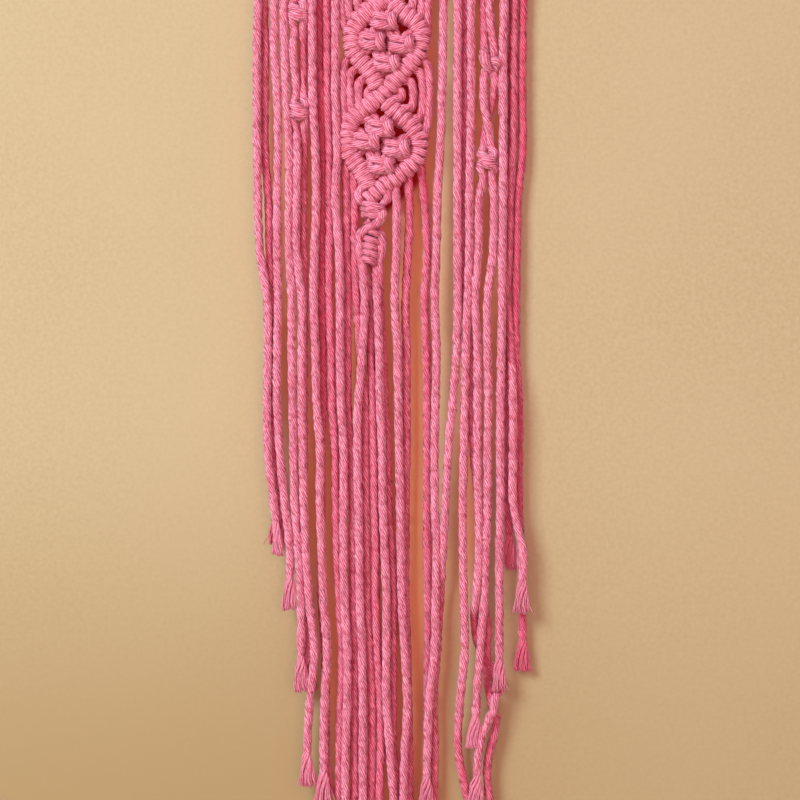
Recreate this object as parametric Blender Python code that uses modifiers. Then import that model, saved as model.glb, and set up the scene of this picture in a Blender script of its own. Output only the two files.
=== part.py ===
"""Macrame wall hanging: fifteen folded cotton cords tied onto one holding cord.

Frame: metres, +Z up.  The origin is the middle of the top edge, where a wall holds the
hanging.  The front faces -Y, the wall is behind at +Y, and +X is to the right.
Heights are given as drops, in millimetres below the top edge.
"""

import math

import bmesh
import bpy
from mathutils import Matrix, Vector

MM = 0.001
HANGING = "macrame_wall_hanging"

# The cord, and the square strand of equal area that stands for it here
CORD = 4.0 * MM
STRAND_SIDE = CORD / 2 * math.sqrt(math.pi)
STRAND_RADIUS = STRAND_SIDE / math.sqrt(2)
QUARTER_TILT = math.pi / 4
CLEARANCE = 0.35 * MM
MERGE = 0.005 * MM
CREASE_ANGLE = math.radians(28.0)

# Depth of a hanging strand's middle: the strands hang in up to four layers
LAYERS = {"f": -2.2, "b": 2.2, "m": 4.5, "r": 6.8}

# Heading: a holding cord, and a lark's head knot of two wraps and a bight for each folded cord
HOLDING_DROP = 6.0
HOLDING_HALF_LENGTH = 80.0 * MM
HOLDING_SIDES = 8
BORE_RADIUS = (CORD / 2 + CLEARANCE) / math.cos(math.pi / HOLDING_SIDES)
WRAP_RADIUS = 5.9 * MM
WRAP_VALLEY_RADIUS = 5.0 * MM
HEAD_HALF_WIDTH = 3.95 * MM
HEAD_STEPS = 8
BIGHT_DROP = 9.6
BIGHT_DEPTH = -4.6
LEG_HALF_GAP = 2.0
LEG_TOP_DROP = 9.5
LEG_OUT_DROP = 15.0

# Wound forms: knots and bars, turned round a long axis with one ridge for each wrap.
# The radius in a valley and at the two flat ends is given as a share of a ridge's
KNOT_SIDES = 8
VALLEY = 0.8
SHOULDER = 0.62

# Square knots: two stacked passes, and the upright loop on their right.
# Strands run side by side through a knot, one pitch (mm) apart
SQUARE_WIDTH = 15.5 * MM
SQUARE_HEIGHT = 9.6 * MM
SQUARE_THICKNESS = 9.0 * MM
LOOP_WIDTH = 4.6 * MM
LOOP_HEIGHT = 8.6 * MM
LOOP_OFFSET = Vector((4.9 * MM, -3.2 * MM, 0.0))
KNOT_PITCH = 3.8

# Hitched bars
BAR_THICKNESS = 9.6 * MM
BAR_OVERRUN = 1.5 * MM
BAR_WRAPS = 8
BAR_SLANT = 0.25
HITCHES = 4
BAR_LAYER = 1.1

# Overhand knots on a pair of strands
PAIR_KNOT_SIZE = 9.4 * MM
PAIR_KNOT_THICKNESS = 9.0 * MM
PAIR_KNOT_WRAPS = 3
PAIR_KNOT_SLANT = 0.35

# Frayed ends (mm): each strand opens into three plies, which root a little inside it
FRAY_LENGTH = 22.0
FRAY_SPREAD = 2.5
PLIES = 3
PLY_RADIUS = 1.35 * MM
PLY_TIP_SCALE = 0.8
PLY_ROOT_LENGTH = 1.5
PLY_ROOT_PITCH = 0.5
PLY_ROOT_DEPTH = 0.1
OUTER_PLY_RISE = 3.0

# Depth (mm) of the strands inside the chain, staggered so that no two faces meet flat
HITCHED_STAGGER = 0.37
LEADER_DEPTHS = {"left": 0.19, "right": -0.23}

PINK = (0.83, 0.19, 0.33, 1.0)
COTTON_ROUGHNESS = 0.9

# Each folded cord and the middle of its lark's head knot, x in mm
CORDS = (
    ("left_1", -71.5),
    ("left_2", -61.5),
    ("left_3", -51.5),
    ("left_4", -42.0),
    ("left_5", -33.0),
    ("chain_1", -22.0),
    ("chain_2", -11.7),
    ("chain_3", -1.7),
    ("chain_4", 8.3),
    ("chain_5", 18.5),
    ("right_1", 32.5),
    ("right_2", 42.5),
    ("right_3", 52.5),
    ("right_4", 62.3),
    ("right_5", 71.3),
)

# Drops at which the fall of every strand is given
LEVELS = (50, 105, 160, 215, 270, 325, 380, 435, 490)

# The fall of each strand: first level, layer and x (mm) at each level, then drop and x of its tip
FALLS = {
    "left_1a": (50, "ffffff", (-73, -73.5, -73, -68, -68, -64.5), 356, -62),
    "left_1b": (50, "bbbbbb", (-70, -69.5, -67, -66, -65.5, -62), 350, -62.5),
    "left_2a": (50, "ffffff", (-64, -62.5, -62.5, -62, -62.5, -58.5), 386, -56),
    "left_2b": (50, "fffffff", (-59, -57.5, -56, -54.5, -54, -53, -49.5), 431, -49),
    "left_3a": (50, "ffffffff", (-52, -51, -52, -49, -49, -48, -45, -44.5), 483, -45.5),
    "left_3b": (50, "bbbbbbb", (-48.5, -48.5, -48.5, -48, -48, -48.5, -47.5), 431, -45),
    "left_4a": (50, "ffffffff", (-43.5, -43, -41.5, -42.5, -41, -39, -37, -36.5), 493, -37.5),
    "left_4b": (50, "rrrrrrrr", (-40, -38.5, -37.5, -38, -37.5, -38.5, -38.5, -36), 490, -36),
    "left_5a": (50, "bbbbbbbbb", (-35.5, -35, -34, -34, -32.5, -30.5, -28.5, -27.5, -28.5), 515, -28.5),
    "left_5b": (50, "fffffffff", (-30.5, -30.5, -30.5, -28, -27.5, -26, -25.5, -24, -25), 522, -25.5),
    "chain_1b": (160, "bbbbbbb", (-24.5, -24, -24, -21, -20.5, -20, -20), 512, -20),
    "chain_2a": (160, "bbbbbbb", (-20, -19, -14.5, -14, -13.5, -10.5, -11), 520, -11.5),
    "chain_2b": (160, "rrrrrrr", (-14.5, -7, -4.5, -3, -1, -1, 3), 508, 3),
    "chain_3a": (215, "ffffff", (-14.5, -18, -18, -17, -15.5, -15.5), 524, -15),
    "chain_1a": (215, "bbbbbb", (-11.5, -10, -9, -8.5, -6, -6.5), 516, -6.5),
    "chain_5b": (215, "ffffff", (-7.5, -6, -4.5, -2.5, -2.5, 1.5), 526, 3),
    "chain_3b": (215, "bbbbbb", (-5.5, -3.5, -1.5, 1.5, 1, 4), 519, 5.5),
    "chain_4a": (160, "fffffff", (3, 2, 4, 5, 6, 9, 7), 517, 7),
    "chain_4b": (160, "bbbbbbb", (10, 8, 8.5, 8, 8.5, 9.5, 10), 510, 10),
    "chain_5a": (160, "rrrrrr", (18.5, 18, 20, 20, 20.5, 20), 495, 20),
    "right_1a": (50, "fffffffff", (29, 28, 25.5, 24, 24.5, 24, 24.5, 21, 18.5), 496, 17.5),
    "right_1b": (50, "ffffffbbb", (36.5, 36.5, 36.5, 36.5, 34, 30, 27, 23.5, 23.5), 514, 24),
    "right_2a": (50, "bbbbbbbrb", (41.5, 41, 40, 40, 44, 47.5, 50, 54.5, 54.5), 515, 55),
    "right_2b": (50, "ffffffffb", (44, 44, 43, 42, 40.5, 39.5, 40.5, 38, 42), 509, 43.5),
    "right_3a": (50, "bbfffffbf", (54, 55.8, 48.5, 46, 47.5, 48, 46.5, 58, 46), 495, 45.5),
    "right_3b": (50, "ffffffff", (51, 51.4, 56.5, 53, 53.5, 53, 51, 46.5), 462, 45.5),
    "right_4a": (50, "fffffff", (62, 61.5, 61.5, 61, 60, 60, 59.5), 431, 59.5),
    "right_4b": (50, "rrrrrr", (64.5, 64, 64, 61.5, 64.5, 64.5), 364, 66),
    "right_5a": (50, "bbbbfff", (68, 67.5, 65.5, 63.5, 67, 67, 72.5), 388, 71),
    "right_5b": (50, "mmmmmmm", (73, 72.5, 70, 69, 70.5, 70.5, 72.5), 421, 72.5),
}

# Bends between the levels: strand, drop, x (mm), layer
BENDS = (
    ("left_2a", 347.0, -56.0, "f"),
    ("left_3a", 57.7, -51.7, "f"),
    ("left_3a", 65.0, -54.7, "f"),
    ("left_3a", 78.0, -54.0, "f"),
    ("left_3a", 121.5, -52.0, "f"),
    ("left_3a", 407.0, -42.0, "f"),
    ("left_3b", 57.7, -51.0, "b"),
    ("left_3b", 65.0, -48.7, "b"),
    ("left_3b", 111.6, -50.0, "b"),
    ("left_3b", 121.5, -48.2, "b"),
    ("right_2a", 391.0, 52.0, "b"),
    ("right_2a", 402.0, 53.0, "b"),
    ("right_2a", 420.0, 53.5, "b"),
    ("right_2a", 446.0, 58.0, "b"),
    ("right_2a", 461.0, 55.0, "b"),
    ("right_2a", 473.0, 53.0, "b"),
    ("right_3a", 30.2, 54.0, "b"),
    ("right_3a", 84.7, 54.5, "b"),
    ("right_3a", 92.0, 56.5, "b"),
    ("right_3a", 114.0, 54.5, "b"),
    ("right_3a", 130.0, 50.0, "b"),
    ("right_3a", 139.0, 52.0, "f"),
    ("right_3a", 402.0, 47.5, "m"),
    ("right_3a", 410.0, 50.0, "r"),
    ("right_3a", 420.0, 57.0, "r"),
    ("right_3a", 428.0, 60.5, "m"),
    ("right_3a", 446.0, 52.5, "f"),
    ("right_3a", 460.0, 48.5, "f"),
    ("right_3b", 30.2, 53.0, "f"),
    ("right_3b", 84.7, 54.0, "f"),
    ("right_3b", 92.0, 49.2, "f"),
    ("right_3b", 130.0, 54.5, "f"),
    ("right_3b", 139.0, 53.5, "f"),
    ("right_5a", 226.0, 65.0, "b"),
    ("right_5a", 243.0, 66.0, "b"),
    ("right_5a", 342.0, 70.0, "f"),
    ("right_5a", 353.0, 72.5, "f"),
)

# Overhand knots that tie a pair of strands: cord, x (mm), drop
PAIR_KNOTS = (
    ("left_3", -51.2, 57.7),
    ("left_3", -50.4, 111.6),
    ("right_3", 53.5, 30.2),
    ("right_3", 54.4, 84.7),
    ("right_3", 52.8, 139.0),
)

# Diamond chain: where the two leading strands cross, x (mm) and drop
CROSSINGS = ((-1.5, 48.0), (-4.5, 103.5), (-10.5, 156.0))

# Corners of the half diamond and of the two diamonds below it: left x, right x (mm), drop
CORNERS = ((-20.0, 16.5, 21.0), (-20.5, 15.5, 75.5), (-22.0, 14.5, 128.0))

# Where the hitched strands pass outside the crossings, outermost first, x (mm)
OUTSIDE_LEFT = (-25.5, -21.5, -17.0, -11.0)
OUTSIDE_RIGHT = (19.5, 15.5, 11.0, 5.0)
OUTSIDE_STEP = 4.5
OUTSIDE_SHARE = 0.35

# Square knots of each diamond, x (mm) and drop of the upper, left, right and lower one
SQUARE_KNOTS = (
    {"left": (-9.9, 19.3), "right": (6.6, 20.3), "lower": (-1.7, 30.2)},
    {"upper": (-3.9, 62.0), "left": (-10.7, 73.0), "right": (5.5, 74.8), "lower": (-2.5, 85.5)},
    {"upper": (-6.0, 121.0), "left": (-13.8, 128.0), "right": (2.8, 132.0), "lower": (-5.5, 141.3)},
)

# Hitched strands of each side, outermost first, and the strand that leads each side
LEFT_HITCHED = ("chain_1b", "chain_2a", "chain_2b", "chain_3a")
RIGHT_HITCHED = ("chain_5a", "chain_4b", "chain_4a", "chain_3b")
LEFT_LEADER = "chain_1a"
RIGHT_LEADER = "chain_5b"

# Spiral of half knots under the chain: x (mm), top drop, bottom drop, width (mm)
SPIRAL_TURNS = ((-10.2, 154.0, 176.5, 16.0), (-11.5, 173.5, 198.5, 15.4))
SPIRAL_THICKNESS = 9.4 * MM
SPIRAL_WRAPS = 4
SPIRAL_SLANT = 0.45
SPIRAL_BELLY = 0.5
SPIRAL_STRANDS = ("chain_3a", "chain_1a", "chain_5b", "chain_3b")


def clear_scene():
    for item in list(bpy.data.objects):
        bpy.data.objects.remove(item, do_unlink=True)


def make_collection(name):
    collection = bpy.data.collections.new(name)
    bpy.context.scene.collection.children.link(collection)
    return collection


def make_cotton(name):
    material = bpy.data.materials.new(name)
    material.use_nodes = True
    shader = material.node_tree.nodes["Principled BSDF"]
    shader.inputs["Base Color"].default_value = PINK
    shader.inputs["Roughness"].default_value = COTTON_ROUGHNESS
    shader.inputs["Metallic"].default_value = 0.0
    material.diffuse_color = PINK
    return material


def place(x, drop, depth=0.0):
    """A point from its x and depth in millimetres and its drop below the top edge."""
    return Vector((x * MM, depth * MM, -drop * MM))


def link_object(name, data):
    item = bpy.data.objects.new(name, data)
    bpy.context.scene.collection.objects.link(item)
    return item


def evaluated_mesh(item):
    """The mesh of an object with its modifiers applied; the object is removed."""
    evaluated = item.evaluated_get(bpy.context.evaluated_depsgraph_get())
    mesh = bpy.data.meshes.new_from_object(evaluated)
    bpy.data.objects.remove(item, do_unlink=True)
    return mesh


def welded(item, matrix=None):
    """Turn a curve or a turned profile into a closed mesh object in its final place."""
    name = item.name
    matrix = matrix or item.matrix_world.copy()
    mesh = evaluated_mesh(item)
    mesh.transform(matrix)
    work = bmesh.new()
    work.from_mesh(mesh)
    bmesh.ops.remove_doubles(work, verts=work.verts, dist=MERGE)
    bmesh.ops.recalc_face_normals(work, faces=work.faces)
    work.to_mesh(mesh)
    work.free()
    return link_object(name, mesh)


def drop_sealed_pockets(mesh):
    """Keep a solid's outer shell and delete the small pockets sealed inside it."""
    work = bmesh.new()
    work.from_mesh(mesh)
    waiting = set(work.verts)
    shells = []
    while waiting:
        front = [waiting.pop()]
        shell = list(front)
        while front:
            vertex = front.pop()
            near = {edge.other_vert(vertex) for edge in vertex.link_edges} & waiting
            waiting -= near
            front += near
            shell += near
        shells.append(shell)
    shells.sort(key=len)
    for pocket in shells[:-1]:
        bmesh.ops.delete(work, geom=pocket, context="VERTS")
    work.to_mesh(mesh)
    work.free()


def tube(name, points, radius, tip_scale=1.0, tilt=QUARTER_TILT, resolution=0):
    """A strand along its points: four sides, or eight with resolution 2."""
    curve = bpy.data.curves.new(name, "CURVE")
    curve.dimensions = "3D"
    curve.bevel_depth = radius
    curve.bevel_resolution = resolution
    curve.use_fill_caps = True
    curve.twist_mode = "MINIMUM"
    spline = curve.splines.new("POLY")
    spline.points.add(len(points) - 1)
    for station, point in zip(spline.points, points):
        station.co = (*point, 1.0)
        station.tilt = tilt
    spline.points[-1].radius = tip_scale
    return welded(link_object(name, curve))


def wound_form(name, start, end, width, thickness, wraps, slant=0.0, belly=0.0):
    """A closed form turned round the line from start to end, ridged once for each wrap."""
    length = (end - start).length
    outline = [(0.0, length), (SHOULDER, length)]
    for station in range(1, 2 * wraps):
        ridge = 1.0 if station % 2 else VALLEY
        share = station / (2 * wraps)
        fullness = 1.0 - belly * (2 * share - 1) ** 2
        outline.append((ridge * fullness, length * (1.0 - share)))
    outline += [(SHOULDER, 0.0), (0.0, 0.0)]

    work = bmesh.new()
    corners = [work.verts.new((radius * width / 2, 0.0, height)) for radius, height in outline]
    for upper, lower in zip(corners, corners[1:]):
        work.edges.new((upper, lower))
    mesh = bpy.data.meshes.new(name)
    work.to_mesh(mesh)
    work.free()

    item = link_object(name, mesh)
    turn = item.modifiers.new("Turn", "SCREW")
    turn.axis = "Z"
    turn.steps = KNOT_SIDES
    turn.render_steps = KNOT_SIDES
    turn.use_merge_vertices = True
    turn.merge_threshold = MERGE

    squash = Matrix.Diagonal((1.0, thickness / width, 1.0, 1.0))
    shear = Matrix.Identity(4)
    shear[2][0] = slant
    along = (end - start).normalized()
    across = Vector((0.0, 1.0, 0.0)).cross(along).normalized()
    back = along.cross(across)
    turned = Matrix((across, back, along)).transposed().to_4x4()
    return welded(item, Matrix.Translation(start) @ turned @ shear @ squash)


def smooth_value(stations, drop):
    """x and depth at a drop, on a smooth curve through stations of (drop, x, depth)."""
    index = 0
    while index < len(stations) - 2 and stations[index + 1][0] < drop:
        index += 1
    span = stations[index + 1][0] - stations[index][0]
    share = (drop - stations[index][0]) / span
    result = []
    for axis in (1, 2):
        slopes = []
        for middle in (index, index + 1):
            before = stations[max(middle - 1, 0)]
            after = stations[min(middle + 1, len(stations) - 1)]
            slopes.append((after[axis] - before[axis]) / (after[0] - before[0]) * span)
        low = stations[index][axis]
        high = stations[index + 1][axis]
        result.append(
            (2 * share ** 3 - 3 * share ** 2 + 1) * low
            + (share ** 3 - 2 * share ** 2 + share) * slopes[0]
            + (3 * share ** 2 - 2 * share ** 3) * high
            + (share ** 3 - share ** 2) * slopes[1]
        )
    return result


def fall_stations(strand):
    """Stations of (drop, x, depth) where a strand hangs free, from its row and its bends."""
    first, layers, places, tip_drop, tip_x = FALLS[strand]
    levels = LEVELS[LEVELS.index(first):]
    stations = [(drop, x, LAYERS[layer]) for drop, x, layer in zip(levels, places, layers)]
    stations += [(drop, x, LAYERS[layer]) for name, drop, x, layer in BENDS if name == strand]
    stations.append((tip_drop, tip_x, LAYERS[layers[-1]]))
    return sorted(stations)


def fall_points(stations, from_drop):
    """Points down a fall, one at each station, to where it frays."""
    tip_drop = stations[-1][0]
    neck = tip_drop - FRAY_LENGTH
    drops = [drop for drop, _, _ in stations if from_drop <= drop < neck - CORD / MM] + [neck]
    places = [smooth_value(stations, drop) for drop in drops]
    return [place(x, drop, depth) for drop, (x, depth) in zip(drops, places)]


def frayed_plies(strand, stations):
    """The plies that a strand opens into at its tip, apart but for their roots."""
    tip_drop, tip_x, tip_depth = stations[-1]
    neck = tip_drop - FRAY_LENGTH
    neck_x, neck_depth = smooth_value(stations, neck)
    plies = []
    for ply in range(PLIES):
        side = ply - (PLIES - 1) / 2
        root_x = neck_x + side * PLY_ROOT_PITCH
        root_depth = neck_depth + side * PLY_ROOT_DEPTH
        root = place(root_x, neck - PLY_ROOT_LENGTH, root_depth)
        rise = abs(side) * OUTER_PLY_RISE
        tip = place(tip_x + side * FRAY_SPREAD, tip_drop - rise, tip_depth)
        plies.append(tube(f"{strand}_ply_{ply}", [root, tip], PLY_RADIUS, PLY_TIP_SCALE))
    return plies


def lark_head(cord, x):
    """A ring of two wraps round the holding cord, closed by the bight in front."""
    middle = place(x, HOLDING_DROP)
    half = HEAD_HALF_WIDTH
    outline = (
        (BORE_RADIUS, half),
        (WRAP_VALLEY_RADIUS, half),
        (WRAP_RADIUS, half / 2),
        (WRAP_VALLEY_RADIUS, 0.0),
        (WRAP_RADIUS, -half / 2),
        (WRAP_VALLEY_RADIUS, -half),
        (BORE_RADIUS, -half),
    )
    work = bmesh.new()
    corners = [work.verts.new((radius, 0.0, along)) for radius, along in outline]
    for near, far in zip(corners, corners[1:] + corners[:1]):
        work.edges.new((near, far))
    mesh = bpy.data.meshes.new(f"{cord}_wraps")
    work.to_mesh(mesh)
    work.free()
    ring = link_object(f"{cord}_wraps", mesh)
    turn = ring.modifiers.new("Turn", "SCREW")
    turn.steps = HEAD_STEPS
    turn.render_steps = HEAD_STEPS
    turn.use_merge_vertices = True
    turn.merge_threshold = MERGE
    upright = Matrix.Rotation(math.pi / 2, 4, "Y")
    wraps = welded(ring, Matrix.Translation(middle) @ upright)
    reach = Vector((half, 0.0, 0.0))
    bight_middle = place(x, BIGHT_DROP, BIGHT_DEPTH)
    bight = wound_form(
        f"{cord}_bight", bight_middle - reach, bight_middle + reach, CORD, CORD, wraps=1
    )
    return [wraps, bight]


def fuse(name, pieces, material, collection):
    """Join touching pieces into one closed solid."""
    others = bpy.data.collections.new(f"{name}_pieces")
    bpy.context.scene.collection.children.link(others)
    body = pieces[0]
    for piece in pieces[1:]:
        bpy.context.scene.collection.objects.unlink(piece)
        others.objects.link(piece)
    union = body.modifiers.new("Join", "BOOLEAN")
    union.operation = "UNION"
    union.operand_type = "COLLECTION"
    union.collection = others
    union.solver = "EXACT"
    union.use_self = True
    mesh = evaluated_mesh(body)
    for piece in pieces[1:]:
        bpy.data.objects.remove(piece, do_unlink=True)
    bpy.data.collections.remove(others)
    drop_sealed_pockets(mesh)
    mesh.name = name
    mesh.materials.clear()
    mesh.materials.append(material)
    mesh.shade_smooth()
    mesh.set_sharp_from_angle(angle=CREASE_ANGLE)
    collection.objects.link(bpy.data.objects.new(name, mesh))


def leg_stations(x, side):
    """The two stations where a strand leaves its lark's head knot."""
    leg = x + side * LEG_HALF_GAP
    return [(LEG_TOP_DROP, leg, 0.0), (LEG_OUT_DROP, leg, 0.0)]


def side_cord(cord, x):
    """A folded cord that hangs beside the chain: its lark's head, two strands and their knots."""
    pieces = lark_head(cord, x)
    for name, knot_x, drop in PAIR_KNOTS:
        if name == cord:
            half = Vector((0.0, 0.0, PAIR_KNOT_SIZE / 2))
            middle = place(knot_x, drop)
            pieces.append(wound_form(
                f"{cord}_knot", middle - half, middle + half,
                PAIR_KNOT_SIZE, PAIR_KNOT_THICKNESS, PAIR_KNOT_WRAPS, PAIR_KNOT_SLANT,
            ))
    for letter, side in (("a", -1), ("b", 1)):
        strand = cord + letter
        stations = leg_stations(x, side) + fall_stations(strand)
        pieces.append(tube(strand, fall_points(stations, LEG_TOP_DROP), STRAND_RADIUS))
        pieces += frayed_plies(strand, stations)
    return pieces


def on_bar(corner, crossing, hitched):
    """The middle of a hitch on a bar, counted from the bar's corner."""
    share = (hitched + 0.5) / HITCHES
    x = corner[0] + (crossing[0] - corner[0]) * share
    drop = corner[1] + (crossing[1] - corner[1]) * share
    return x, drop


def chain_points(hitched, side, depth):
    """The way of one hitched strand through the half diamond and both diamonds."""
    outside = OUTSIDE_LEFT if side == "left" else OUTSIDE_RIGHT
    mirror = 1 if side == "left" else -1
    inner = hitched >= HITCHES // 2
    points = []
    for number, (left_x, right_x, drop) in enumerate(CORNERS):
        corner = (left_x if side == "left" else right_x, drop)
        knots = SQUARE_KNOTS[number]
        if number > 0:
            entry = on_bar(corner, CROSSINGS[number - 1], hitched)
            leave_drop = points[-1][1]
            step = min(OUTSIDE_STEP, OUTSIDE_SHARE * (entry[1] - leave_drop))
            points.append((outside[hitched], leave_drop + step))
            points.append((outside[hitched], entry[1] - step))
            points.append(entry)
        in_middle = mirror * (hitched - HITCHES + 0.5) * KNOT_PITCH
        if inner and "upper" in knots:
            points.append((knots["upper"][0] + in_middle, knots["upper"][1]))
        at_side = mirror * (hitched - HITCHES / 2 + 0.5) * KNOT_PITCH
        points.append((knots[side][0] + at_side, knots[side][1]))
        if inner:
            points.append((knots["lower"][0] + in_middle, knots["lower"][1]))
        points.append(on_bar(corner, CROSSINGS[number], hitched))
    return [place(x, drop, depth) for x, drop in points]


def leader_points(side):
    """The way of a leading strand from its own side; it changes sides at each crossing."""
    depth = LEADER_DEPTHS[side]
    points = []
    on_left = side == "left"
    for (left_x, right_x, drop), crossing in zip(CORNERS, CROSSINGS):
        points.append((left_x if on_left else right_x, drop))
        points.append(crossing)
        on_left = not on_left
    return [place(x, drop, depth) for x, drop in points]


def chain_strand(strand, points):
    """A strand of the chain, from its lark's head through the knots to its frayed end."""
    stations = fall_stations(strand)
    first = stations[0][0]
    if strand in SPIRAL_STRANDS:
        x, top, bottom, _ = SPIRAL_TURNS[-1]
        fall_x = stations[0][1]
        depth = stations[0][2] / 2
        points = points + [place(x, top), place((x + fall_x) / 2, bottom - CORD / MM, depth)]
    return points + fall_points(stations, first)


def chain_strands():
    """All ten strands of the chain with their frayed ends."""
    heads = dict(CORDS)
    ways = []
    for side, hitched_names in (("left", LEFT_HITCHED), ("right", RIGHT_HITCHED)):
        for hitched, strand in enumerate(hitched_names):
            depth = HITCHED_STAGGER * (hitched + 1) * (1 if side == "left" else -1)
            ways.append((strand, chain_points(hitched, side, depth)))
    ways.append((LEFT_LEADER, leader_points("left")))
    ways.append((RIGHT_LEADER, leader_points("right")))
    pieces = []
    for strand, points in ways:
        head_x = heads[strand[:-1]]
        side = -1 if strand[-1] == "a" else 1
        legs = [place(x, drop, depth) for drop, x, depth in leg_stations(head_x, side)]
        pieces.append(tube(strand, legs + chain_strand(strand, points), STRAND_RADIUS))
        pieces += frayed_plies(strand, fall_stations(strand))
    return pieces


def hitched_bars():
    """The ridged bars of the chain; those that rise to the right lie in front."""
    pieces = []
    for number, (left_x, right_x, drop) in enumerate(CORNERS):
        ends = [CROSSINGS[number]]
        if number > 0:
            ends.append(CROSSINGS[number - 1])
        for x in (left_x, right_x):
            for crossing in ends:
                rises_right = (x - crossing[0]) * (crossing[1] - drop) > 0
                depth = -BAR_LAYER if rises_right else BAR_LAYER
                start = place(x, drop, depth)
                end = place(crossing[0], crossing[1], depth)
                overrun = (end - start).normalized() * BAR_OVERRUN
                pieces.append(wound_form(
                    "bar", start - overrun, end + overrun,
                    BAR_THICKNESS, BAR_THICKNESS, BAR_WRAPS, BAR_SLANT,
                ))
    return pieces


def square_knots():
    """Each square knot: its two stacked passes and the upright loop on their right."""
    pieces = []
    for knots in SQUARE_KNOTS:
        for x, drop in knots.values():
            middle = place(x, drop)
            half = Vector((0.0, 0.0, SQUARE_HEIGHT / 2))
            pieces.append(wound_form(
                "square_knot", middle - half, middle + half,
                SQUARE_WIDTH, SQUARE_THICKNESS, wraps=2,
            ))
            loop = middle + LOOP_OFFSET
            half = Vector((0.0, 0.0, LOOP_HEIGHT / 2))
            pieces.append(wound_form(
                "loop", loop - half, loop + half, LOOP_WIDTH, LOOP_WIDTH, wraps=1
            ))
    return pieces


def spiral():
    """The two turns of the half-knot spiral under the chain."""
    pieces = []
    for x, top, bottom, width in SPIRAL_TURNS:
        pieces.append(wound_form(
            "turn", place(x, bottom), place(x, top),
            width * MM, SPIRAL_THICKNESS, SPIRAL_WRAPS, SPIRAL_SLANT, SPIRAL_BELLY,
        ))
    return pieces


def holding_cord(material, collection):
    ends = [place(0.0, HOLDING_DROP) + Vector((side * HOLDING_HALF_LENGTH, 0.0, 0.0))
            for side in (-1, 1)]
    cord = tube("holding_cord", ends, CORD / 2, tilt=0.0, resolution=2)
    cord.data.materials.append(material)
    bpy.context.scene.collection.objects.unlink(cord)
    collection.objects.link(cord)


def build():
    clear_scene()
    collection = make_collection(HANGING)
    holding_cord(make_cotton("holding_cord"), collection)
    chain = hitched_bars() + square_knots() + spiral() + chain_strands()
    for cord, x in CORDS:
        if cord.startswith("chain"):
            chain += lark_head(cord, x)
        else:
            fuse(f"cord_{cord}", side_cord(cord, x), make_cotton(f"cord_{cord}"), collection)
    fuse("diamond_chain", chain, make_cotton("diamond_chain"), collection)


build()
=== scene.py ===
"""Macrame wall hanging of pink cotton cord: its looks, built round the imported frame.

Every strand is one rope that is followed from its lark's head, through the hitches and
square knots that it takes part in, down to its frayed end. Routes are in millimetres:
x to the right, depth towards the wall, and drop down from the top edge.
"""

import math
import random

import bpy
import numpy as np
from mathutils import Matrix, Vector


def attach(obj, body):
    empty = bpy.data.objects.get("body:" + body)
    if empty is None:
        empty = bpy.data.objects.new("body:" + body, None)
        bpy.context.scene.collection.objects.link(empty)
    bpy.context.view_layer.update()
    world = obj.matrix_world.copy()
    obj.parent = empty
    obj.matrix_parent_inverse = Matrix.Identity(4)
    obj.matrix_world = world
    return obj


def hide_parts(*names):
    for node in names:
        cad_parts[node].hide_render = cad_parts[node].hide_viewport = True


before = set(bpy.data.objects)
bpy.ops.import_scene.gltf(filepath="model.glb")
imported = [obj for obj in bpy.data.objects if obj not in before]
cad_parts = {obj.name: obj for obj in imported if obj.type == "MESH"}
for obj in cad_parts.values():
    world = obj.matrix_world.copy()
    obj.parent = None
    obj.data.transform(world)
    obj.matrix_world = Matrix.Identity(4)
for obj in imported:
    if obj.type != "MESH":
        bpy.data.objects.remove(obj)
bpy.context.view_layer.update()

MM = 0.001
SEED = 7

# ---- Sizes, in millimetres

CORD_RADIUS = 2.4        # the soft cord, about 4 mm thick when it is pulled
LAY = 27.0               # length in which a yarn goes once round the cord
YARNS = 10               # yarns that show round the cord
GROOVE = 0.34            # depth of the grooves between the yarns, as a share of the radius
UNEVEN = 0.08            # how much the yarns swell and shrink along the cord
SWELLING = 0.045         # how much the whole cord does
RIBBON_WIDTH = 4.15      # a cord pressed flat in a wrap: three yarns side by side in front
RIBBON_THICKNESS = 3.0
RING_POINTS = 2 * YARNS  # a groove and a crest for each yarn

HOLDING_DROP = 6.0       # the holding cord's centre under the top edge
HOLDING_HALF_LENGTH = 80.0

LAYERS = {"f": -2.2, "b": 2.2, "m": 4.2, "r": 6.2}  # depths at which strands hang
LEVEL_PITCH = 27.5       # a fall's places are given this far apart
FIRST_LEVEL = 50.0

GIRTH = 7                # the place of the girth in a mark
FRONT = (0.0, -1.0, 0.0)
BACK = (0.0, 1.0, 0.0)

# middles of the folded cords along the holding cord
CORDS = {
    "left_1": -71.5, "left_2": -61.5, "left_3": -51.5, "left_4": -42, "left_5": -33,
    "chain_1": -22, "chain_2": -11.7, "chain_3": -1.7, "chain_4": 8.3, "chain_5": 18.5,
    "right_1": 32.5, "right_2": 42.5, "right_3": 52.5, "right_4": 62.3, "right_5": 71.3,
}

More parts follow.
